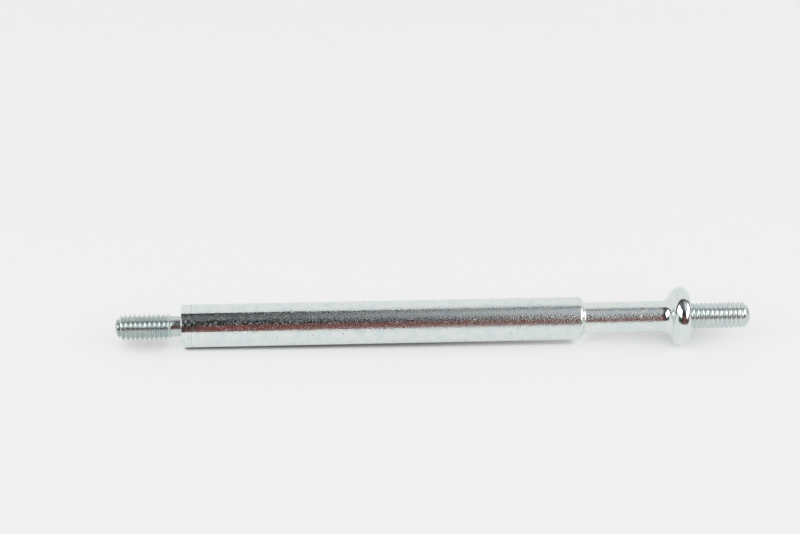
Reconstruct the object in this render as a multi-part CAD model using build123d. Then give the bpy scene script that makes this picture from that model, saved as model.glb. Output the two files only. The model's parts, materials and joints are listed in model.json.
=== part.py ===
from build123d import *
import os
from math import asin, atan2, degrees, hypot, sqrt

# Shouldered stud bolt, turned from one round bar of steel.
#
# A long plain barrel ends in a square shoulder on one side, with a short undercut neck and a
# threaded end beyond it. On the other side a rounded shoulder drops to a slimmer shank, which
# flares like a trumpet into a collar with a round rim. The second threaded end stands on the
# collar's flat seat. Both threads are plain cylinders at the diameter of their crests.
#
# The profile is drawn as (x, radius), with x along the stud from the square shoulder.
# The finished stud lies on its side as it comes to rest, on the barrel's edge and the collar's
# rim, with its length along +X and its origin under its middle, on the surface it lies on.

# ---------------------------------------------------------------------------
# Driving dimensions, in millimetres
# ---------------------------------------------------------------------------

# Both threaded ends, 5/16-18 UNC
thread_dia = 7.9            # across the crests
tip_dia = 4.1               # flat that the lead-in chamfer leaves on each end
tip_chamfer = 1.9           # length of the lead-in chamfer along the axis

# Threaded end at the square shoulder, with its undercut neck
neck_end_length = 19.8      # shoulder to tip, neck included
neck_dia = 6.1
neck_length = 3.1           # shoulder to the foot of the thread's run-out
neck_run_out = 0.7          # cone from the neck up to the thread
neck_fillet = 0.4           # at the foot of the shoulder

# Barrel
barrel_dia = 13.0
barrel_length = 121.6       # square shoulder to the foot of the rounded one
barrel_edge_break = 0.2     # chamfer on the square shoulder's edge
shoulder_convex = 1.2       # rounded shoulder: radius off the barrel
shoulder_concave = 0.8      # rounded shoulder: radius onto the shank

# Shank and collar
shank_dia = 9.5
shank_length = 23.2         # foot of the rounded shoulder to the start of the flare
collar_dia = 18.0
flare_concave = 3.3         # flare: radius off the shank
rim_convex = 3.6            # flare: radius onto the collar's crown
rim_outer = 2.2             # from the crown round to the flat seat

# Threaded end on the collar's seat
collar_end_length = 18.7    # seat to tip

# ---------------------------------------------------------------------------
# Derived radii and stations
# ---------------------------------------------------------------------------

thread_r = thread_dia / 2
tip_r = tip_dia / 2
neck_r = neck_dia / 2
barrel_r = barrel_dia / 2
shank_r = shank_dia / 2
collar_r = collar_dia / 2


def ogee_run(step, convex, concave):
    """Length of a convex and a concave arc that meet at a tangent and drop by step."""
    reach = convex + concave
    return sqrt(reach**2 - (reach - step) ** 2)


neck_tip_x = -neck_end_length
shoulder_x = barrel_length - ogee_run(barrel_r - shank_r, shoulder_convex, shoulder_concave)
flare_x = barrel_length + shank_length
crown_x = flare_x + ogee_run(collar_r - shank_r, rim_convex, flare_concave)
seat_x = crown_x + rim_outer
collar_tip_x = seat_x + collar_end_length

# ---------------------------------------------------------------------------
# Half profile
# ---------------------------------------------------------------------------


def ogee_join(high, low, convex, concave):
    """Point where the arc that starts at high meets the arc that starts at low.

    Both arcs start along the axis, with their centres convex below high and concave above low.
    """
    share = convex / (convex + concave)
    high_centre = Vector(high[0], high[1] - convex)
    low_centre = Vector(low[0], low[1] + concave)
    return high_centre + (low_centre - high_centre) * share


def draw_neck_end():
    """Threaded end and neck, from the tip on the axis to the barrel's full diameter."""
    Polyline(
        (neck_tip_x, 0),
        (neck_tip_x, tip_r),
        (neck_tip_x + tip_chamfer, thread_r),
        (-neck_length - neck_run_out, thread_r),
        (-neck_length, neck_r),
        (-neck_fillet, neck_r),
    )
    TangentArc((-neck_fillet, neck_r), (0, neck_r + neck_fillet), tangent=(1, 0))
    Polyline(
        (0, neck_r + neck_fillet),
        (0, barrel_r - barrel_edge_break),
        (barrel_edge_break, barrel_r),
        (shoulder_x, barrel_r),
    )


def draw_rounded_shoulder():
    """Convex corner off the barrel, running into a concave one onto the shank."""
    top, foot = (shoulder_x, barrel_r), (barrel_length, shank_r)
    join = ogee_join(top, foot, shoulder_convex, shoulder_concave)
    TangentArc(top, join, tangent=(1, 0))
    TangentArc(foot, join, tangent=(-1, 0))


def draw_collar():
    """Shank, trumpet flare and round rim, down to the thread on the flat seat."""
    foot, crown = (flare_x, shank_r), (crown_x, collar_r)
    join = ogee_join(crown, foot, rim_convex, flare_concave)
    seat_edge = (seat_x, collar_r - rim_outer)
    Line((barrel_length, shank_r), foot)
    TangentArc(foot, join, tangent=(1, 0))
    TangentArc(crown, join, tangent=(-1, 0))
    TangentArc(crown, seat_edge, tangent=(1, 0))
    Line(seat_edge, (seat_x, thread_r))


def draw_collar_end():
    """Threaded end on the collar's seat, closed along the axis."""
    Polyline(
        (seat_x, thread_r),
        (collar_tip_x - tip_chamfer, thread_r),
        (collar_tip_x, tip_r),
        (collar_tip_x, 0),
        (neck_tip_x, 0),
    )


def turned_stud():
    """The whole stud, turned about the X axis."""
    with BuildPart() as stud:
        with BuildSketch():
            with BuildLine():
                draw_neck_end()
                draw_rounded_shoulder()
                draw_collar()
                draw_collar_end()
            make_face()
        revolve(axis=Axis.X)
    return stud.part


# ---------------------------------------------------------------------------
# Rest on a level surface
# ---------------------------------------------------------------------------


def rest_tilt():
    """Angle between the axis and the line that touches the barrel's edge and the rim."""
    run = crown_x - barrel_edge_break
    rise = barrel_r - (collar_r - rim_convex)
    return asin(rim_convex / hypot(run, rise)) - atan2(rise, run)


def lie_down(stud):
    """Tilt the stud onto its two supports and centre it over the origin."""
    lying = Rot(0, -degrees(rest_tilt()), 0) * stud
    box = lying.bounding_box()
    return Pos(-box.center().X, 0, -box.min.Z) * lying


stud_bolt = lie_down(turned_stud())

os.makedirs("parts", exist_ok=True)
export_step(stud_bolt, "parts/stud_bolt.step")
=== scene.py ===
import json
from math import atan2, cos, pi, radians, sin, sqrt

import bpy
from mathutils import Matrix, Vector


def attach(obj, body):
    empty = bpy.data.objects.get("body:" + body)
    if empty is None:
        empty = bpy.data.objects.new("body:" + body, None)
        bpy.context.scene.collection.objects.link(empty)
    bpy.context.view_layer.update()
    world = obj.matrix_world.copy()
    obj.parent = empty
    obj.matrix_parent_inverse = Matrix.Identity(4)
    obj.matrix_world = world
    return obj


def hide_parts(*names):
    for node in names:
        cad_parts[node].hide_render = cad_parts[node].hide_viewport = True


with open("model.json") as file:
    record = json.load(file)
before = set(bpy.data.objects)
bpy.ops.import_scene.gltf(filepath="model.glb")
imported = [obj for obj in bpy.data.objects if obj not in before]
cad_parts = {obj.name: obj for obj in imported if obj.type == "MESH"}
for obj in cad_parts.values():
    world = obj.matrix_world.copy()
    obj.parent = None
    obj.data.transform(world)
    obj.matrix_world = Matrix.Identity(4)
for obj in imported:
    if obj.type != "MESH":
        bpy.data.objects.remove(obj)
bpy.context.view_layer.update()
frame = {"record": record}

MM = 0.001

# The stud's sizes, in millimetres, as a turner would read them off the drawing.
PITCH = 1.411
CREST_RADIUS = 3.95
ROOT_RADIUS = 3.05
COLLAR_ROOT_RADIUS = 3.6
TIP_RADIUS = 2.05
TIP_CHAMFER = 1.9
NECK_END = 19.8
NECK_LENGTH = 3.1
NECK_FILLET = 0.4
BARREL_RADIUS = 6.5
BARREL_LENGTH = 121.6
EDGE_BREAK = 0.2
SHOULDER_CONVEX = 1.2
SHOULDER_CONCAVE = 0.8
SHANK_RADIUS = 4.75
SHANK_LENGTH = 23.2
COLLAR_RADIUS = 9.0
FLARE_CONCAVE = 3.3
RIM_CONVEX = 3.6
RIM_OUTER = 2.2
COLLAR_END = 18.7
FLARE_REACH = FLARE_CONCAVE + RIM_CONVEX
FLARE_RUN = sqrt(FLARE_REACH**2 - (FLARE_REACH - COLLAR_RADIUS + SHANK_RADIUS) ** 2)
COLLAR_TIP = round(BARREL_LENGTH + SHANK_LENGTH + FLARE_RUN + RIM_OUTER + COLLAR_END, 2)

AROUND = 168                # points round the axis
SHARP_ANGLE = 38            # degrees, above which an edge shows as an edge
SEAM_WELD = 0.0005          # closes a turned grid's seam and its poles
JOINT_WELD = 0.002          # joins the threads to the body


# ---------------------------------------------------------------- where the stud lies

def stud_axis():
    """The shoulder's centre and the direction of the axis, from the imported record's mounts."""
    mounts = {mount["name"]: mount for mount in frame["record"]["mounts"]}
    along = Vector(mounts["collar_thread"]["axis"]).normalized()
    shoulder = Vector(mounts["barrel_shoulder"]["pos_m"])
    on_thread = Vector(mounts["collar_thread"]["pos_m"])
    centre = on_thread + along * (shoulder - on_thread).dot(along)
    return centre, along


SHOULDER_CENTRE, AXIS = stud_axis()
REST_TILT = atan2(AXIS.z, AXIS.x)


# ---------------------------------------------------------------- numbers inside a node tree

class Amount:
    """A number in a node tree, on which plain arithmetic becomes Math nodes."""

    def __init__(self, tree, socket):
        self.tree = tree
        self.socket = socket

    def work(self, operation, *others):
        node = self.tree.nodes.new("ShaderNodeMath")
        node.operation = operation
        for place, value in enumerate((self,) + others):
            feed(self.tree, value, node.inputs[place])
        return Amount(self.tree, node.outputs[0])

    def __add__(self, other):
        return self.work("ADD", other)

    def __sub__(self, other):
        return self.work("SUBTRACT", other)

    def __mul__(self, other):
        return self.work("MULTIPLY", other)

    def __truediv__(self, other):
        return self.work("DIVIDE", other)

    def less_of(self, other):
        return self.work("MINIMUM", other)

    def more_of(self, other):
        return self.work("MAXIMUM", other)


def feed(tree, value, socket):
    """Gives a socket an amount, another node's output, or a plain number."""
    if isinstance(value, Amount):
        tree.links.new(value.socket, socket)
    elif isinstance(value, bpy.types.NodeSocket):
        tree.links.new(value, socket)
    else:
        socket.default_value = value


def step(tree, kind, settings=None, **inputs):
    """Adds one node, sets its properties and feeds its inputs by name."""
    node = tree.nodes.new(kind)
    for name, value in (settings or {}).items():
        setattr(node, name, value)
    for name, value in inputs.items():
        feed(tree, value, node.inputs[name.replace("_", " ")])
    return node


def new_tree(name, kind, inputs, outputs):
    """An empty node group with its named sockets, and its two end nodes."""
    tree = bpy.data.node_groups.new(name, kind)
    for label, socket_type, value in inputs:
        socket = tree.interface.new_socket(label, in_out="INPUT", socket_type=socket_type)
        if value is not None:
            socket.default_value = value
    for label, socket_type in outputs:
        tree.interface.new_socket(label, in_out="OUTPUT", socket_type=socket_type)
    start = tree.nodes.new("NodeGroupInput")
    end = tree.nodes.new("NodeGroupOutput")
    return tree, start, end


def amounts_of(tree, start):
    """The number inputs of a group, ready for arithmetic."""
    numbers = [socket for socket in start.outputs if socket.type in ("VALUE", "INT")]
    return {socket.name: Amount(tree, socket) for socket in numbers}


def use(tree, group, **inputs):
    """Places a finished group in another tree."""
    kind = "GeometryNodeGroup" if tree.bl_idname == "GeometryNodeTree" else "ShaderNodeGroup"
    node = tree.nodes.new(kind)
    node.node_tree = group
    for name, value in inputs.items():
        feed(tree, value, node.inputs[name.replace("_", " ")])
    return node


# ---------------------------------------------------------------- geometry: the turned body

def ring_places(tree, around):
    """Row, share of a turn and its cosine and sine, for each point of a grid that wraps round the axis."""
    index = Amount(tree, step(tree, "GeometryNodeInputIndex").outputs[0])
    across = around + 1.0
    row = (index / across).work("FLOOR")
    turn = (index - row * across) / around
    angle = turn * (2 * pi)
    return row, turn, angle.work("COSINE"), angle.work("SINE")


def wrapped(tree, rows, around, station, radius, cosine, sine):
    """A grid bent round the axis at those stations and radii, with its seam and poles welded."""
    grid = step(tree, "GeometryNodeMeshGrid", Vertices_X=rows, Vertices_Y=around + 1.0)
    place = step(tree, "ShaderNodeCombineXYZ", X=station, Y=radius * cosine, Z=radius * sine)
    moved = step(
        tree, "GeometryNodeSetPosition",
        Geometry=grid.outputs["Mesh"], Position=place.outputs[0],
    )
    weld = step(tree, "GeometryNodeMergeByDistance", Geometry=moved.outputs[0], Distance=SEAM_WELD * MM)
    outward = step(tree, "GeometryNodeFlipFaces", Mesh=weld.outputs[0])
    return outward.outputs[0]


def make_revolve_tree():
    """Turns a profile of stations and radii round the axis."""
    tree, start, end = new_tree(
        "revolve_profile", "GeometryNodeTree",
        [("Profile", "NodeSocketGeometry", None), ("Around", "NodeSocketInt", AROUND)],
        [("Mesh", "NodeSocketGeometry")],
    )
    profile = start.outputs["Profile"]
    around = Amount(tree, start.outputs["Around"])
    count = step(tree, "GeometryNodeAttributeDomainSize", {"component": "CURVE"}, Geometry=profile)
    row, turn, cosine, sine = ring_places(tree, around)
    position = step(tree, "GeometryNodeInputPosition")
    sample = tree.nodes.new("GeometryNodeSampleIndex")
    sample.data_type = "FLOAT_VECTOR"
    sample.domain = "POINT"
    sample.clamp = True
    tree.links.new(profile, sample.inputs["Geometry"])
    tree.links.new(position.outputs[0], sample.inputs["Value"])
    tree.links.new(row.socket, sample.inputs["Index"])
    apart = step(tree, "ShaderNodeSeparateXYZ", Vector=sample.outputs[0])
    station = Amount(tree, apart.outputs["X"])
    radius = Amount(tree, apart.outputs["Y"])
    mesh = wrapped(tree, count.outputs["Point Count"], around, station, radius, cosine, sine)
    tree.links.new(mesh, end.inputs["Mesh"])
    return tree


def make_reverse_curve_tree():
    """Two arcs that join tangentially: how long they run, and where their tangents' corners stand."""
    tree, start, end = new_tree(
        "reverse_curve", "GeometryNodeTree",
        [
            ("Low Radius", "NodeSocketFloat", 1.0),
            ("High Radius", "NodeSocketFloat", 2.0),
            ("Concave", "NodeSocketFloat", 1.0),
            ("Convex", "NodeSocketFloat", 1.0),
        ],
        [("Run", "NodeSocketFloat"), ("Low Corner", "NodeSocketFloat"), ("High Corner", "NodeSocketFloat")],
    )
    size = amounts_of(tree, start)
    reach = size["Concave"] + size["Convex"]
    lift = reach - (size["High Radius"] - size["Low Radius"])
    run = (reach * reach - lift * lift).work("SQRT")
    half_turn = run.work("ARCTAN2", lift) * 0.5
    slope = half_turn.work("TANGENT")
    tree.links.new(run.socket, end.inputs["Run"])
    tree.links.new((size["Concave"] * slope).socket, end.inputs["Low Corner"])
    tree.links.new((size["Convex"] * slope).socket, end.inputs["High Corner"])
    return tree


def switch_by_index(tree, values):
    """A field that gives each point of the profile its own value from the list."""
    node = tree.nodes.new("GeometryNodeIndexSwitch")
    node.data_type = "FLOAT"
    while len(node.index_switch_items) < len(values):
        node.index_switch_items.new()
    index = tree.nodes.new("GeometryNodeInputIndex")
    tree.links.new(index.outputs[0], node.inputs[0])
    for place, value in enumerate(values):
        feed(tree, value, node.inputs[place + 1])
    return Amount(tree, node.outputs[0])


def make_turned_body_tree(revolve, reverse_curve):
    """The neck, barrel, shank and collar as one profile of rounded corners, revolved."""
    tree, start, end = new_tree(
        "turned_body", "GeometryNodeTree",
        [
            ("Neck Radius", "NodeSocketFloat", ROOT_RADIUS * MM),
            ("Neck Length", "NodeSocketFloat", NECK_LENGTH * MM),
            ("Neck Fillet", "NodeSocketFloat", NECK_FILLET * MM),
            ("Barrel Radius", "NodeSocketFloat", BARREL_RADIUS * MM),
            ("Barrel Length", "NodeSocketFloat", BARREL_LENGTH * MM),
            ("Edge Break", "NodeSocketFloat", EDGE_BREAK * MM),
            ("Shoulder Convex", "NodeSocketFloat", SHOULDER_CONVEX * MM),
            ("Shoulder Concave", "NodeSocketFloat", SHOULDER_CONCAVE * MM),
            ("Shank Radius", "NodeSocketFloat", SHANK_RADIUS * MM),
            ("Shank Length", "NodeSocketFloat", SHANK_LENGTH * MM),
            ("Collar Radius", "NodeSocketFloat", COLLAR_RADIUS * MM),
            ("Flare Concave", "NodeSocketFloat", FLARE_CONCAVE * MM),
            ("Rim Convex", "NodeSocketFloat", RIM_CONVEX * MM),
            ("Rim Outer", "NodeSocketFloat", RIM_OUTER * MM),
            ("Seat Foot Radius", "NodeSocketFloat", COLLAR_ROOT_RADIUS * MM),
            ("Around", "NodeSocketInt", AROUND),
            ("Round Steps", "NodeSocketInt", 18),
            ("Collar Material", "NodeSocketMaterial", None),
            ("Barrel Material", "NodeSocketMaterial", None),
            ("Neck Material", "NodeSocketMaterial", None),
        ],
        [("Mesh", "NodeSocketGeometry")],
    )
    size = amounts_of(tree, start)
    shoulder = use(
        tree, reverse_curve,
        Low_Radius=size["Shank Radius"], High_Radius=size["Barrel Radius"],
        Concave=size["Shoulder Concave"], Convex=size["Shoulder Convex"],
    )
    flare = use(
        tree, reverse_curve,
        Low_Radius=size["Shank Radius"], High_Radius=size["Collar Radius"],
        Concave=size["Flare Concave"], Convex=size["Rim Convex"],
    )
    shoulder_low = Amount(tree, shoulder.outputs["Low Corner"])
    shoulder_high = Amount(tree, shoulder.outputs["High Corner"])
    shoulder_run = Amount(tree, shoulder.outputs["Run"])
    flare_low = Amount(tree, flare.outputs["Low Corner"])
    flare_high = Amount(tree, flare.outputs["High Corner"])
    flare_start = size["Barrel Length"] + size["Shank Length"]
    crown = flare_start + Amount(tree, flare.outputs["Run"])
    seat = crown + size["Rim Outer"]
    barrel_end = size["Barrel Length"] - shoulder_run + shoulder_high
    # The run-out's shading fades over the neck's first part, and the rest of it is plain.
    plain_neck = size["Neck Length"] * -0.6
    corners = [
        (size["Neck Length"] * -1.0, size["Neck Radius"], 0.0),
        (plain_neck, size["Neck Radius"], 0.0),
        (0.0, size["Neck Radius"], size["Neck Fillet"]),
        (0.0, size["Barrel Radius"], size["Edge Break"]),
        (barrel_end, size["Barrel Radius"], size["Shoulder Convex"]),
        (size["Barrel Length"] - shoulder_low, size["Shank Radius"], size["Shoulder Concave"]),
        (flare_start + flare_low, size["Shank Radius"], size["Flare Concave"]),
        (crown - flare_high, size["Collar Radius"], size["Rim Convex"]),
        (seat, size["Collar Radius"], size["Rim Outer"]),
        (seat, size["Seat Foot Radius"], 0.0),
    ]
    line = step(tree, "GeometryNodeMeshLine", Count=len(corners))
    place = step(
        tree, "ShaderNodeCombineXYZ",
        X=switch_by_index(tree, [corner[0] for corner in corners]),
        Y=switch_by_index(tree, [corner[1] for corner in corners]),
    )
    sharp = step(tree, "GeometryNodeSetPosition", Geometry=line.outputs[0], Position=place.outputs[0])
    curve = step(tree, "GeometryNodeMeshToCurve", Mesh=sharp.outputs[0])
    rounded = tree.nodes.new("GeometryNodeFilletCurve")
    rounded.mode = "POLY"
    tree.links.new(curve.outputs[0], rounded.inputs["Curve"])
    tree.links.new(size["Round Steps"].socket, rounded.inputs["Count"])
    feed(tree, switch_by_index(tree, [corner[2] for corner in corners]), rounded.inputs["Radius"])
    rounded.inputs["Limit Radius"].default_value = True
    body = use(tree, revolve, Profile=rounded.outputs[0], Around=size["Around"])
    position = step(tree, "GeometryNodeInputPosition")
    station = Amount(tree, step(tree, "ShaderNodeSeparateXYZ", Vector=position.outputs[0]).outputs["X"])
    on_collar = station.work("GREATER_THAN", flare_start)
    barrel_done = step(
        tree, "GeometryNodeSetMaterial",
        Geometry=body.outputs[0], Material=start.outputs["Barrel Material"],
    )
    collar_done = step(
        tree, "GeometryNodeSetMaterial",
        Geometry=barrel_done.outputs[0], Selection=on_collar, Material=start.outputs["Collar Material"],
    )
    neck_done = step(
        tree, "GeometryNodeSetMaterial",
        Geometry=collar_done.outputs[0], Selection=station.work("LESS_THAN", -0.01 * MM),
        Material=start.outputs["Neck Material"],
    )
    tree.links.new(neck_done.outputs[0], end.inputs["Mesh"])
    return tree


# ---------------------------------------------------------------- geometry: the threads

def make_thread_tree():
    """A right-hand thread from its tip at station 0 to where it ends, whose rows follow the helix.

    Rows lean by one pitch a turn, so the crest and the root are clean edges, and the seam meets itself.
    Points past either end are held there, and the welding closes them up."""
    tree, start, end = new_tree(
        "threaded_length", "GeometryNodeTree",
        [
            ("Length", "NodeSocketFloat", 16.0 * MM),
            ("Pitch", "NodeSocketFloat", PITCH * MM),
            ("Crest Radius", "NodeSocketFloat", CREST_RADIUS * MM),
            ("Root Radius", "NodeSocketFloat", ROOT_RADIUS * MM),
            ("Crest Width", "NodeSocketFloat", 0.15),
            ("Root Width", "NodeSocketFloat", 0.15),
            ("Start Turn", "NodeSocketFloat", 0.0),
            ("Tip Radius", "NodeSocketFloat", TIP_RADIUS * MM),
            ("Tip Chamfer", "NodeSocketFloat", TIP_CHAMFER * MM),
            ("Tip Rounding", "NodeSocketFloat", 0.0),
            ("Tip Groove", "NodeSocketFloat", 0.7),
            ("Run Out", "NodeSocketFloat", 0.7 * MM),
            ("Rows a Turn", "NodeSocketInt", 16),
            ("Around", "NodeSocketInt", AROUND),
            ("Material", "NodeSocketMaterial", None),
        ],
        [("Mesh", "NodeSocketGeometry")],
    )
    size = amounts_of(tree, start)
    row, turn, cosine, sine = ring_places(tree, size["Around"])
    rise = size["Pitch"] / size["Rows a Turn"]
    rows = ((size["Length"] + size["Pitch"]) / rise).work("CEIL") + 3.0
    lean = size["Pitch"] * turn
    free_station = (row - 2.0) * rise - size["Pitch"] + lean
    station = free_station.more_of(0.0).less_of(size["Length"])
    phase = (station / size["Pitch"] - turn + size["Start Turn"]).work("FRACT")
    off_crest = ((phase - 0.5).work("ABSOLUTE")) * 2.0
    # Straight flanks between the crest's flat and the root's.
    flank = step(
        tree, "ShaderNodeMapRange", {"interpolation_type": "LINEAR", "clamp": True},
        Value=off_crest,
        From_Min=size["Crest Width"], From_Max=size["Root Width"] * -1.0 + 1.0,
        To_Min=1.0, To_Max=0.0,
    )
    depth = size["Crest Radius"] - size["Root Radius"]
    thread_radius = size["Root Radius"] + depth * Amount(tree, flank.outputs[0])
    # The chamfer at the tip rounds over into the crests, and the groove goes on down it.
    up_chamfer = (station / size["Tip Chamfer"]).less_of(1.0)
    rounded_over = up_chamfer + up_chamfer * (up_chamfer * -1.0 + 1.0) * size["Tip Rounding"]
    tip_limit = size["Tip Radius"] + (size["Crest Radius"] - size["Tip Radius"]) * rounded_over
    from_end = size["Length"] - station
    end_limit = size["Root Radius"] + depth * (from_end / size["Run Out"])
    sunk = thread_radius - (size["Crest Radius"] - tip_limit) * size["Tip Groove"]
    radius = sunk.less_of(tip_limit).less_of(end_limit)
    not_pole = row.work("GREATER_THAN", 0.5)
    mesh = wrapped(tree, rows, size["Around"], station, radius * not_pole, cosine, sine)
    done = step(tree, "GeometryNodeSetMaterial", Geometry=mesh, Material=start.outputs["Material"])
    tree.links.new(done.outputs[0], end.inputs["Mesh"])
    return tree


def make_stud_tree(body, thread):
    """The whole stud along +X, with station 0 at the barrel's square shoulder."""
    tree, start, end = new_tree(
        "stud_bolt", "GeometryNodeTree",
        [
            ("Geometry", "NodeSocketGeometry", None),
            ("Neck End Length", "NodeSocketFloat", NECK_END * MM),
            ("Neck Length", "NodeSocketFloat", NECK_LENGTH * MM),
            ("Barrel Length", "NodeSocketFloat", BARREL_LENGTH * MM),
            ("Shank Length", "NodeSocketFloat", SHANK_LENGTH * MM),
            ("Collar End Length", "NodeSocketFloat", COLLAR_END * MM),
            ("Collar Tip Station", "NodeSocketFloat", COLLAR_TIP * MM),
            ("Pitch", "NodeSocketFloat", PITCH * MM),
            ("Neck Start Turn", "NodeSocketFloat", 0.0),
            ("Collar Start Turn", "NodeSocketFloat", 0.0),
            ("Around", "NodeSocketInt", AROUND),
            ("Barrel Material", "NodeSocketMaterial", None),
            ("Collar Material", "NodeSocketMaterial", None),
            ("Thread Material", "NodeSocketMaterial", None),
        ],
        [("Geometry", "NodeSocketGeometry")],
    )
    size = amounts_of(tree, start)
    middle = use(
        tree, body,
        Neck_Length=size["Neck Length"], Barrel_Length=size["Barrel Length"],
        Shank_Length=size["Shank Length"], Around=size["Around"],
        Barrel_Material=start.outputs["Barrel Material"],
        Collar_Material=start.outputs["Collar Material"],
        Neck_Material=start.outputs["Thread Material"],
    )
    neck_thread = use(
        tree, thread,
        Length=size["Neck End Length"] - size["Neck Length"], Pitch=size["Pitch"],
        Start_Turn=size["Neck Start Turn"], Run_Out=1.2 * MM, Crest_Width=0.08, Tip_Rounding=0.2,
        Around=size["Around"], Material=start.outputs["Thread Material"],
    )
    neck_place = step(tree, "ShaderNodeCombineXYZ", X=size["Neck End Length"] * -1.0)
    neck_moved = step(
        tree, "GeometryNodeTransform",
        Geometry=neck_thread.outputs[0], Translation=neck_place.outputs[0],
    )
    collar_thread = use(
        tree, thread,
        Length=size["Collar End Length"], Pitch=size["Pitch"],
        Start_Turn=size["Collar Start Turn"], Run_Out=0.4 * MM, Crest_Width=0.16, Root_Width=0.25,
        Root_Radius=COLLAR_ROOT_RADIUS * MM, Tip_Rounding=0.8,
        Around=size["Around"], Material=start.outputs["Thread Material"],
    )
    collar_place = step(tree, "ShaderNodeCombineXYZ", X=size["Collar Tip Station"])
    collar_moved = step(
        tree, "GeometryNodeTransform",
        Geometry=collar_thread.outputs[0], Translation=collar_place.outputs[0],
        Rotation=(0.0, 0.0, pi),
    )
    together = tree.nodes.new("GeometryNodeJoinGeometry")
    for part in (collar_moved, neck_moved, middle):
        tree.links.new(part.outputs[0], together.inputs[0])
    weld = step(tree, "GeometryNodeMergeByDistance", Geometry=together.outputs[0], Distance=JOINT_WELD * MM)
    real = step(tree, "GeometryNodeRealizeInstances", Geometry=weld.outputs[0])
    smooth = step(tree, "GeometryNodeSetShadeSmooth", Geometry=real.outputs[0])
    tree.links.new(smooth.outputs[0], end.inputs["Geometry"])
    return tree


def set_input(modifier, label, value):
    """Sets one input of a Geometry Nodes modifier through its socket's identifier."""
    for item in modifier.node_group.interface.items_tree:
        if item.item_type == "SOCKET" and item.in_out == "INPUT" and item.name == label:
            modifier[item.identifier] = value
            return
    raise KeyError(label)


def baked(carrier, name):
    """The evaluated result of an object's modifier as a plain mesh object of its own."""
    graph = bpy.context.evaluated_depsgraph_get()
    mesh = bpy.data.meshes.new_from_object(carrier.evaluated_get(graph))
    mesh.name = name
    bpy.data.objects.remove(carrier)
    piece = bpy.data.objects.new(name, mesh)
    bpy.context.scene.collection.objects.link(piece)
    return piece


def make_stud(materials):
    """The visible stud as one plain mesh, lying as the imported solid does."""
    tree = make_stud_tree(
        make_turned_body_tree(make_revolve_tree(), make_reverse_curve_tree()),
        make_thread_tree(),
    )
    carrier = bpy.data.objects.new("stud_rule", bpy.data.meshes.new("stud_rule"))
    bpy.context.scene.collection.objects.link(carrier)
    modifier = carrier.modifiers.new("stud_bolt", "NODES")
    modifier.node_group = tree
    set_input(modifier, "Neck Start Turn", 0.66)
    set_input(modifier, "Collar Start Turn", 0.61)
    set_input(modifier, "Barrel Material", materials["barrel"])
    set_input(modifier, "Collar Material", materials["collar"])
    set_input(modifier, "Thread Material", materials["thread"])
    piece = baked(carrier, "turned_stud")
    lie_down = Matrix.Translation(SHOULDER_CENTRE) @ Matrix.Rotation(-REST_TILT, 4, "Y")
    piece.data.transform(lie_down)
    piece.data.set_sharp_from_angle(angle=radians(SHARP_ANGLE))
    return piece


# ---------------------------------------------------------------- materials: zinc plate

MARKS_SHIFT = (0.0, -1.25, -1.25)   # millimetres, moves the handling marks over the stud
SCRATCH_DEPTH = 1.5                 # depths in heights of a grain
ARC_DEPTH = 5.0
SCRATCH_ROUGHNESS = 0.4
SPECK_ROUGHNESS = 0.5


def places_on_stud(tree):
    """Each point's place in the stud's own straight frame, its station and its distance from the axis.

    All three are in millimetres."""
    coordinates = step(tree, "ShaderNodeTexCoord")
    straight = step(
        tree, "ShaderNodeMapping", {"vector_type": "TEXTURE"},
        Vector=coordinates.outputs["Object"],
    )
    straight.inputs["Location"].default_value = SHOULDER_CENTRE
    straight.inputs["Rotation"].default_value = (0.0, -REST_TILT, 0.0)
    place = step(
        tree, "ShaderNodeVectorMath", {"operation": "SCALE"},
        Vector=straight.outputs[0], Scale=1.0 / MM,
    )
    apart = step(tree, "ShaderNodeSeparateXYZ", Vector=place.outputs[0])
    flat = step(tree, "ShaderNodeCombineXYZ", Y=apart.outputs["Y"], Z=apart.outputs["Z"])
    reach = step(tree, "ShaderNodeVectorMath", {"operation": "LENGTH"}, Vector=flat.outputs[0])
    return place.outputs[0], apart.outputs["X"], reach.outputs["Value"]


def make_pebble_group():
    """The plating's pebbled skin: rough grains on a bright ground, closer together where there are more."""
    tree, start, end = new_tree(
        "pebbled_skin", "ShaderNodeTree",
        [
            ("Place", "NodeSocketVector", None),
            ("Grain", "NodeSocketFloat", 0.45),
            ("Cover", "NodeSocketFloat", 0.3),
        ],
        [("Grains", "NodeSocketFloat"), ("Swell", "NodeSocketFloat")],
    )
    size = amounts_of(tree, start)
    noise = step(
        tree, "ShaderNodeTexNoise", Vector=start.outputs["Place"],
        Scale=size["Grain"].work("POWER", -1.0), Detail=1.5, Roughness=0.6,
    )
    edge = size["Cover"] * -0.4 + 0.7
    grains = step(
        tree, "ShaderNodeMapRange", {"interpolation_type": "SMOOTHSTEP"},
        Value=noise.outputs["Fac"], From_Min=edge - 0.09, From_Max=edge + 0.09,
    )
    swell = step(tree, "ShaderNodeTexNoise", Vector=start.outputs["Place"], Scale=0.35, Detail=2.0)
    tree.links.new(grains.outputs[0], end.inputs["Grains"])
    tree.links.new(swell.outputs["Fac"], end.inputs["Swell"])
    return tree


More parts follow.
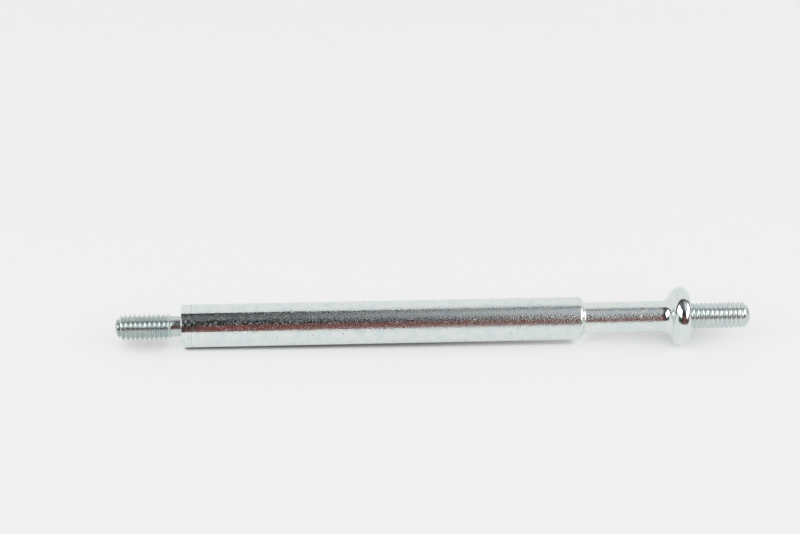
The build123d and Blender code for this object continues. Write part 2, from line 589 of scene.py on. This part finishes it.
def make_marks_group():
    """Handling marks: sparse hairline scratches that curve a little, and small dull specks."""
    tree, start, end = new_tree(
        "handling_marks", "ShaderNodeTree",
        [
            ("Place", "NodeSocketVector", None),
            ("Scratch Spacing", "NodeSocketFloat", 5.0),
            ("Speck Spacing", "NodeSocketFloat", 2.2),
        ],
        [("Scratches", "NodeSocketFloat"), ("Specks", "NodeSocketFloat")],
    )
    size = amounts_of(tree, start)
    drift = step(tree, "ShaderNodeTexNoise", Vector=start.outputs["Place"], Scale=0.12, Detail=1.0)
    bend = step(tree, "ShaderNodeVectorMath", {"operation": "MULTIPLY_ADD"})
    tree.links.new(drift.outputs["Color"], bend.inputs[0])
    bend.inputs[1].default_value = (5.0, 5.0, 5.0)
    tree.links.new(start.outputs["Place"], bend.inputs[2])
    webs = step(
        tree, "ShaderNodeTexVoronoi", {"feature": "DISTANCE_TO_EDGE"},
        Vector=bend.outputs[0], Scale=size["Scratch Spacing"].work("POWER", -1.0),
    )
    hair = step(
        tree, "ShaderNodeMapRange", Value=webs.outputs["Distance"],
        From_Min=0.006, From_Max=0.020, To_Min=1.0, To_Max=0.0,
    )
    patches = step(tree, "ShaderNodeTexNoise", Vector=start.outputs["Place"], Scale=0.22, Detail=3.0)
    here = step(tree, "ShaderNodeMapRange", Value=patches.outputs["Fac"], From_Min=0.56, From_Max=0.62)
    scratches = Amount(tree, hair.outputs[0]) * here.outputs[0]
    cells = step(
        tree, "ShaderNodeTexVoronoi", {"feature": "F1"},
        Vector=start.outputs["Place"], Scale=size["Speck Spacing"].work("POWER", -1.0),
    )
    dots = step(
        tree, "ShaderNodeMapRange", Value=cells.outputs["Distance"],
        From_Min=0.07, From_Max=0.16, To_Min=1.0, To_Max=0.0,
    )
    chosen = step(tree, "ShaderNodeSeparateColor", Color=cells.outputs["Color"])
    few = Amount(tree, chosen.outputs[0]).work("GREATER_THAN", 0.72)
    tree.links.new(scratches.socket, end.inputs["Scratches"])
    tree.links.new((Amount(tree, dots.outputs[0]) * few).socket, end.inputs["Specks"])
    return tree


def make_ring_group():
    """A fine line turned round the stud: a mask that is 1 at its station and fades to each side."""
    tree, start, end = new_tree(
        "turned_line", "ShaderNodeTree",
        [
            ("Station", "NodeSocketFloat", None),
            ("At", "NodeSocketFloat", 3.0),
            ("Width", "NodeSocketFloat", 0.2),
        ],
        [("Line", "NodeSocketFloat")],
    )
    size = amounts_of(tree, start)
    off = (size["Station"] - size["At"]).work("ABSOLUTE") / size["Width"]
    line = (off * -1.0 + 1.0).more_of(0.0)
    tree.links.new(line.socket, end.inputs["Line"])
    return tree


def make_arc_scratch_group():
    """One deep scratch that climbs the stud in a quarter circle: 1 on its line, 0 elsewhere.

    The circle's radius is Bend. Its centre is at Station, and Way Round up from the front, as
    measured along the surface."""
    tree, start, end = new_tree(
        "arc_scratch", "ShaderNodeTree",
        [
            ("Place", "NodeSocketVector", None),
            ("Station", "NodeSocketFloat", 140.5),
            ("Way Round", "NodeSocketFloat", 2.45),
            ("Around Radius", "NodeSocketFloat", SHANK_RADIUS),
            ("Bend", "NodeSocketFloat", 2.3),
            ("Width", "NodeSocketFloat", 0.14),
        ],
        [("Scratch", "NodeSocketFloat")],
    )
    size = amounts_of(tree, start)
    apart = step(tree, "ShaderNodeSeparateXYZ", Vector=start.outputs["Place"])
    front = Amount(tree, apart.outputs["Y"]) * -1.0
    round_to = Amount(tree, apart.outputs["Z"]).work("ARCTAN2", front) * size["Around Radius"]
    across = size["Station"] - apart.outputs["X"]
    climb = round_to - size["Way Round"]
    off = ((across * across + climb * climb).work("SQRT") - size["Bend"]).work("ABSOLUTE")
    line = (off / size["Width"] * -1.0 + 1.0).more_of(0.0)
    kept = across.work("GREATER_THAN", 0.0) * climb.work("GREATER_THAN", -0.2)
    tree.links.new((line * kept).socket, end.inputs["Scratch"])
    return tree


def zinc_material(name, groups, finish):
    """Bright zinc plate: pebbled skin, handling marks, turned lines, and painted shade that darkens the
    thread roots.
    """
    material = bpy.data.materials.new(name)
    material.use_nodes = True
    tree = material.node_tree
    shader = tree.nodes["Principled BSDF"]
    shader.inputs["Metallic"].default_value = 1.0
    place, station, from_axis = places_on_stud(tree)
    cover = step(
        tree, "ShaderNodeMapRange", {"clamp": True},
        Value=station, From_Min=finish["cover_from"], From_Max=finish["cover_to"],
        To_Min=finish["cover"][0], To_Max=finish["cover"][1],
    )
    pebble = use(tree, groups["pebble"], Place=place, Grain=finish["grain"], Cover=cover.outputs[0])
    marks_place = step(tree, "ShaderNodeVectorMath", {"operation": "ADD"})
    tree.links.new(place, marks_place.inputs[0])
    marks_place.inputs[1].default_value = MARKS_SHIFT
    marks = use(tree, groups["marks"], Place=marks_place.outputs[0])
    grains = Amount(tree, pebble.outputs["Grains"])
    swell = Amount(tree, pebble.outputs["Swell"])
    arc = Amount(tree, use(tree, groups["arc"], Place=place).outputs[0])
    scratches = (Amount(tree, marks.outputs["Scratches"]) * finish["scratch"]).more_of(arc)
    specks = Amount(tree, marks.outputs["Specks"]) * finish["speck"]
    height = grains + swell * finish["swell"] - scratches * SCRATCH_DEPTH - arc * ARC_DEPTH - specks
    roughness = grains * (finish["grain_roughness"] - finish["roughness"]) + finish["roughness"]
    roughness = roughness.more_of(scratches * SCRATCH_ROUGHNESS).more_of(specks * SPECK_ROUGHNESS)
    # Slow patches, specks, scratches and turned lines each take a little of the tone.
    tone = swell * 0.2 + 0.89
    tone = tone.less_of(1.0) * (specks * -0.45 + 1.0) * (scratches * -0.12 + 1.0)
    for at, width, depth, dull in finish["lines"]:
        line = Amount(tree, use(tree, groups["ring"], Station=station, At=at, Width=width).outputs[0])
        height = height - line * depth
        tone = tone * (line * -dull + 1.0)
    # Painted shade: the colour darkens towards the root radius, in the thread's roots and on the neck,
    # where shade falls between the flanks.
    if finish["painted_root_shade"] < 1.0:
        root = step(
            tree, "ShaderNodeMapRange", {"interpolation_type": "SMOOTHSTEP"},
            Value=from_axis, From_Min=ROOT_RADIUS, From_Max=CREST_RADIUS - 0.1,
            To_Min=finish["painted_root_shade"], To_Max=1.0,
        )
        tone = tone * root.outputs[0]
    bump = step(tree, "ShaderNodeBump", Height=height, Strength=1.0, Distance=finish["depth"] * MM)
    tree.links.new(bump.outputs[0], shader.inputs["Normal"])
    tint = step(tree, "ShaderNodeMix", {"data_type": "RGBA"})
    patch = step(tree, "ShaderNodeMapRange", Value=pebble.outputs["Swell"], From_Min=0.35, From_Max=0.65)
    tree.links.new(patch.outputs[0], tint.inputs["Factor"])
    tint.inputs[6].default_value = finish["cool"] + (1.0,)
    tint.inputs[7].default_value = finish["warm"] + (1.0,)
    shade = step(tree, "ShaderNodeVectorMath", {"operation": "SCALE"}, Scale=tone)
    tree.links.new(tint.outputs[2], shade.inputs[0])
    tree.links.new(shade.outputs[0], shader.inputs["Base Color"])
    tree.links.new(roughness.socket, shader.inputs["Roughness"])
    return material


COOL_ZINC = (0.775, 0.855, 0.86)
WARM_ZINC = (0.825, 0.86, 0.83)
groups = {
    "pebble": make_pebble_group(),
    "marks": make_marks_group(),
    "ring": make_ring_group(),
    "arc": make_arc_scratch_group(),
}
# Grain, depth and the stations that the cover runs between are in millimetres.
# Each turned line has its station, its half width, its depth in grains and how much it dulls.
# The root value is painted shade: the share of the colour kept at the root radius.
BARREL_FINISH = {
    "cool": COOL_ZINC,
    "warm": WARM_ZINC,
    "roughness": 0.055,
    "grain": 0.34,
    "grain_roughness": 0.28,
    "depth": 0.0135,
    "cover_from": 2.0,
    "cover_to": 90.0,
    "cover": (0.15, 0.6),
    "swell": 0.6,
    "scratch": 0.45,
    "speck": 0.8,
    "lines": [(3.0, 0.16, 0.8, 0.22)],
    "painted_root_shade": 1.0,
}
COLLAR_FINISH = {
    "cool": COOL_ZINC,
    "warm": WARM_ZINC,
    "roughness": 0.14,
    "grain": 0.5,
    "grain_roughness": 0.18,
    "depth": 0.002,
    "cover_from": 143.0,
    "cover_to": 146.0,
    "cover": (0.45, 0.05),
    "swell": 0.5,
    "scratch": 0.8,
    "speck": 0.5,
    "lines": [(149.3, 0.15, 1.0, 0.08)],
    "painted_root_shade": 1.0,
}
THREAD_FINISH = {
    "cool": (0.68, 0.76, 0.765),
    "warm": (0.72, 0.77, 0.75),
    "roughness": 0.25,
    "grain": 0.4,
    "grain_roughness": 0.28,
    "depth": 0.010,
    "cover_from": 0.0,
    "cover_to": 1.0,
    "cover": (0.1, 0.1),
    "swell": 0.5,
    "scratch": 0.0,
    "speck": 0.6,
    "lines": [],
    "painted_root_shade": 0.9,
}
materials = {
    "barrel": zinc_material("zinc_barrel", groups, BARREL_FINISH),
    "collar": zinc_material("zinc_collar", groups, COLLAR_FINISH),
    "thread": zinc_material("zinc_thread", groups, THREAD_FINISH),
}

stud = make_stud(materials)
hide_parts("stud_bolt")
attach(stud, "root")


# ---------------------------------------------------------------- studio

# Where the barrel's ends stand over the floor, in metres along X.
SQUARE_END_X = -0.076
ROUND_END_X = 0.045

FLOOR_HALF = 4.0            # metres from the middle of the floor to its edge
FRONT_LEAN = 1.7            # how far the painted shadow's occlusion past the barrel leans to the front for each unit up
VAULT_RADIUS = 1.5          # of the cards that arch over the stud
DRAPE_TOP = 33.5            # degrees up from the front's horizon, where the ceiling starts
FILL = 0.64                 # the walls' light on what is matt, against 1 in what shows
# Where the drapes in front meet each other, in metres along X.
LEFT_OF_BROWN = -0.26
RIGHT_OF_BROWN = 0.35
RIGHT_OF_BLACK = 0.95


def bare_material(name):
    """A new material with nothing in its tree but the output."""
    material = bpy.data.materials.new(name)
    material.use_nodes = True
    tree = material.node_tree
    tree.nodes.remove(tree.nodes["Principled BSDF"])
    return material, tree


def glow_material(name, colour, strength, in_metal=None):
    """A plain luminous card, which may show brighter in the metal than it lights what is matt."""
    material, tree = bare_material(name)
    glow = step(tree, "ShaderNodeEmission", Strength=strength)
    glow.inputs["Color"].default_value = colour + (1.0,)
    if in_metal is not None:
        rays = step(tree, "ShaderNodeLightPath")
        shown = Amount(tree, rays.outputs["Is Glossy Ray"])
        feed(tree, shown * (in_metal - strength) + strength, glow.inputs["Strength"])
    tree.links.new(glow.outputs[0], tree.nodes["Material Output"].inputs["Surface"])
    return material


def ceiling_material(name, angles, left, right, from_x, to_x):
    """A dark ceiling whose glow depends on the angle up from the front's horizon.

    It changes from the left shades to the right ones between from_x and to_x."""
    material, tree = bare_material(name)
    coordinates = step(tree, "ShaderNodeTexCoord")
    apart = step(tree, "ShaderNodeSeparateXYZ", Vector=coordinates.outputs["Object"])
    forward = Amount(tree, apart.outputs["Y"]) * -1.0
    angle = Amount(tree, apart.outputs["Z"]).work("ARCTAN2", forward) * (1.0 / pi)
    along = step(tree, "ShaderNodeMapRange", Value=apart.outputs["X"], From_Min=from_x, From_Max=to_x)
    between = step(tree, "ShaderNodeMix", {"data_type": "RGBA"}, Factor=along.outputs[0])
    for side, shades in enumerate((left, right)):
        ramp = step(tree, "ShaderNodeValToRGB", Fac=angle)
        stops = ramp.color_ramp.elements
        while len(stops) < len(angles):
            stops.new(0.5)
        for place, shade in enumerate(shades):
            stops[place].position = angles[place] / 180.0
            stops[place].color = (shade, shade, shade * 1.05, 1.0)
        tree.links.new(ramp.outputs["Color"], between.inputs[6 + side])
    glow = step(tree, "ShaderNodeEmission", Color=between.outputs[2])
    tree.links.new(glow.outputs[0], tree.nodes["Material Output"].inputs["Surface"])
    return material


def stage_mesh(name, points, faces, material):
    """A piece of the studio, which is no part of the stud."""
    mesh = bpy.data.meshes.new(name)
    mesh.from_pydata(points, [], faces)
    mesh.materials.append(material)
    piece = bpy.data.objects.new(name, mesh)
    bpy.context.scene.collection.objects.link(piece)
    return piece


def grid_faces(rows, columns):
    """The quads between rows of points, where each row has that many columns."""
    return [
        (corner, corner + 1, corner + columns + 1, corner + columns)
        for row in range(rows - 1)
        for corner in range(row * columns, (row + 1) * columns - 1)
    ]


def arch_card(name, radius, sections, material):
    """A card bent over the stud like a vault.

    Each section gives its x and the two angles it spans, up from the front's horizon."""
    points = []
    steps = 12
    for x, low, high in sections:
        for k in range(steps + 1):
            angle = radians(low + (high - low) * k / steps)
            points.append((x, -radius * cos(angle), radius * sin(angle)))
    card = stage_mesh(name, points, grid_faces(len(sections), steps + 1), material)
    card.visible_camera = False
    card.visible_diffuse = False
    card.visible_shadow = False
    return card


def dome_card(name, radius, bearings, heights, material):
    """A soft box as a patch of a dome: bearings from the front towards +X, heights above the floor."""
    points = []
    steps = 10
    for j in range(steps + 1):
        height = radians(heights[0] + (heights[1] - heights[0]) * j / steps)
        for k in range(steps + 1):
            bearing = radians(bearings[0] + (bearings[1] - bearings[0]) * k / steps)
            points.append((
                radius * cos(height) * sin(bearing),
                -radius * cos(height) * cos(bearing),
                radius * sin(height),
            ))
    card = stage_mesh(name, points, grid_faces(steps + 1, steps + 1), material)
    card.visible_camera = False
    card.visible_shadow = False
    return card


def rays_that_show(tree):
    """1 for rays that the camera sees straight or in the metal, 0 for those that light what is matt."""
    rays = step(tree, "ShaderNodeLightPath")
    shown = Amount(tree, rays.outputs["Is Camera Ray"]).more_of(rays.outputs["Is Glossy Ray"])
    return shown.more_of(rays.outputs["Is Transmission Ray"])


def make_floor():
    """A pale floor that shows white to the camera and in the metal, with the stud's shadow on it partly
    real and partly painted from ambient occlusion.
    """
    material, tree = bare_material("white_floor")
    seen = rays_that_show(tree)
    coordinates = step(tree, "ShaderNodeTexCoord")
    along = step(tree, "ShaderNodeSeparateXYZ", Vector=coordinates.outputs["Object"]).outputs["X"]
    past_barrel = step(
        tree, "ShaderNodeMapRange",
        Value=along, From_Min=ROUND_END_X, From_Max=ROUND_END_X + 0.009,
    )
    before_barrel = step(
        tree, "ShaderNodeMapRange",
        Value=along, From_Min=SQUARE_END_X - 0.007, From_Max=SQUARE_END_X - 0.001,
        To_Min=1.0, To_Max=0.0,
    )
    past_barrel = Amount(tree, past_barrel.outputs[0])
    before_barrel = Amount(tree, before_barrel.outputs[0])

    def from_place(before, square_end, round_end, past):
        """An amount that runs from one end of the barrel to the other, with its own value past each."""
        under_barrel = step(
            tree, "ShaderNodeMapRange",
            Value=along, From_Min=SQUARE_END_X, From_Max=ROUND_END_X,
            To_Min=square_end, To_Max=round_end,
        )
        under_barrel = Amount(tree, under_barrel.outputs[0])
        at_neck = (under_barrel * -1.0 + before) * before_barrel
        at_shank = (under_barrel * -1.0 + past) * past_barrel
        return under_barrel + at_neck + at_shank

    # Painted shadow from ambient occlusion: the gap under the barrel widens towards the shank, and the
    # painted dark line in it with it.
    # Beyond the barrel the occlusion is taken leaning to the front, so the painted shadow falls behind the
    # shank.
    painted_shadow_lean = step(tree, "ShaderNodeCombineXYZ", Y=past_barrel * -FRONT_LEAN, Z=1.0)
    painted_shadow_normal = step(tree, "ShaderNodeVectorMath", {"operation": "NORMALIZE"})
    tree.links.new(painted_shadow_lean.outputs[0], painted_shadow_normal.inputs[0])
    painted_shadow_ao = step(
        tree, "ShaderNodeAmbientOcclusion", {"samples": 16},
        Distance=from_place(7.5 * MM, 1.9 * MM, 3.9 * MM, 14.0 * MM), Normal=painted_shadow_normal.outputs[0],
    )
    clear_of_painted_shadow = step(
        tree, "ShaderNodeMapRange", Value=painted_shadow_ao.outputs["AO"],
        From_Min=from_place(-0.7, 0.12, 0.35, -0.55), From_Max=from_place(0.74, 0.41, 0.385, 0.84),
    )
    # The matt colour runs from 0.33 in the painted shadow to 0.5 in the open, and the glow, dimmed by the
    # same painted shadow, adds the rest.
    matt = step(tree, "ShaderNodeBsdfDiffuse")
    feed(tree, Amount(tree, clear_of_painted_shadow.outputs[0]) * 0.17 + 0.33, matt.inputs["Color"])
    glow = step(tree, "ShaderNodeEmission", Strength=seen * clear_of_painted_shadow.outputs[0] * 0.51)
    glow.inputs["Color"].default_value = (1.0, 1.0, 1.0, 1.0)
    both = step(tree, "ShaderNodeAddShader")
    tree.links.new(matt.outputs[0], both.inputs[0])
    tree.links.new(glow.outputs[0], both.inputs[1])
    tree.links.new(both.outputs[0], tree.nodes["Material Output"].inputs["Surface"])
    corners = [(FLOOR_HALF * x, FLOOR_HALF * y, 0) for x, y in ((-1, -1), (1, -1), (1, 1), (-1, 1))]
    return stage_mesh("floor", corners, [(0, 1, 2, 3)], material)


def make_world():
    """White all round in what shows, as a studio's walls are, and a plain fill on what is matt."""
    world = bpy.data.worlds.new("studio_walls")
    world.use_nodes = True
    tree = world.node_tree
    background = tree.nodes["Background"]
    background.inputs["Color"].default_value = (0.85, 0.855, 0.85, 1.0)
    feed(tree, rays_that_show(tree) * (1.0 - FILL) + FILL, background.inputs["Strength"])
    bpy.context.scene.world = world


def make_camera(place, bearing, fall, roll, lens, shift):
    """The camera, by its place in metres, its three angles in degrees and its lens in millimetres.

    The shift is a share of the picture's width."""
    bearing, fall, roll = radians(bearing), radians(fall), radians(roll)
    forward = Vector((sin(bearing) * cos(fall), cos(bearing) * cos(fall), -sin(fall)))
    level_right = Vector((cos(bearing), -sin(bearing), 0.0))
    level_up = level_right.cross(forward)
    right = level_right * cos(roll) + level_up * sin(roll)
    up = level_up * cos(roll) - level_right * sin(roll)
    data = bpy.data.cameras.new("camera")
    data.lens = lens
    data.sensor_width = 36.0
    data.sensor_fit = "HORIZONTAL"
    data.shift_x = shift
    data.clip_start = 0.01
    camera = bpy.data.objects.new("camera", data)
    bpy.context.scene.collection.objects.link(camera)
    turn = Matrix((right, up, -forward)).transposed().to_4x4()
    camera.matrix_world = Matrix.Translation(place) @ turn
    bpy.context.scene.camera = camera


make_camera(
    place=(-0.03405, -0.45414, 0.30891),
    bearing=4.395, fall=31.75, roll=2.06, lens=81.0, shift=-0.05,
)
make_floor()
make_world()
CEILING = ceiling_material(
    "dark_ceiling",
    angles=(34, 42, 50, 57, 65, 73, 82, 91, 96, 104),
    left=(0.02, 0.025, 0.03, 0.05, 0.10, 0.14, 0.13, 0.10, 0.03, 0.01),
    right=(0.05, 0.08, 0.20, 0.50, 0.70, 0.76, 0.68, 0.44, 0.08, 0.02),
    from_x=-0.12, to_x=0.33,
)
FRONT_DRAPE = glow_material("brown_drape", (0.235, 0.080, 0.070), 1.0)
SIDE_DRAPE = glow_material("black_drape", (0.045, 0.045, 0.042), 1.0)
FAR_DRAPE = glow_material("far_brown_drape", (0.120, 0.058, 0.052), 1.0)
SOFT_BOX = glow_material("soft_box", (1.0, 1.0, 1.0), 1.8, in_metal=3.3)
# The ceiling's far edge, as x in metres and degrees up from the front's horizon.
CEILING_EDGE = [(-3.0, 105), (-0.18, 104), (-0.05, 102.5), (0.05, 102), (0.3, 103), (12.0, 101)]
arch_card("ceiling_flag", VAULT_RADIUS, [(x, DRAPE_TOP, edge) for x, edge in CEILING_EDGE], CEILING)
for name, from_x, to_x, cloth in (
    ("front_drape", LEFT_OF_BROWN, RIGHT_OF_BROWN, FRONT_DRAPE),
    ("right_drape", RIGHT_OF_BROWN, RIGHT_OF_BLACK, SIDE_DRAPE),
    ("far_right_drape", RIGHT_OF_BLACK, 2.9, FAR_DRAPE),
    ("left_drape", -2.6, LEFT_OF_BROWN, SIDE_DRAPE),
):
    arch_card(name, VAULT_RADIUS, [(from_x, 0.0, DRAPE_TOP), (to_x, 0.0, DRAPE_TOP)], cloth)
dome_card("left_soft_box", 1.2, (-86, -31), (23, 52), SOFT_BOX)
dome_card("right_soft_box", 1.2, (28, 98), (21, 44), SOFT_BOX)
for name, bearings in (("left_end_drape", (-100, -86)), ("right_end_drape", (98, 112))):
    end_drape = dome_card(name, 1.3, bearings, (0, 48), SIDE_DRAPE)
    end_drape.visible_diffuse = False
bpy.context.scene.view_settings.view_transform = "Standard"
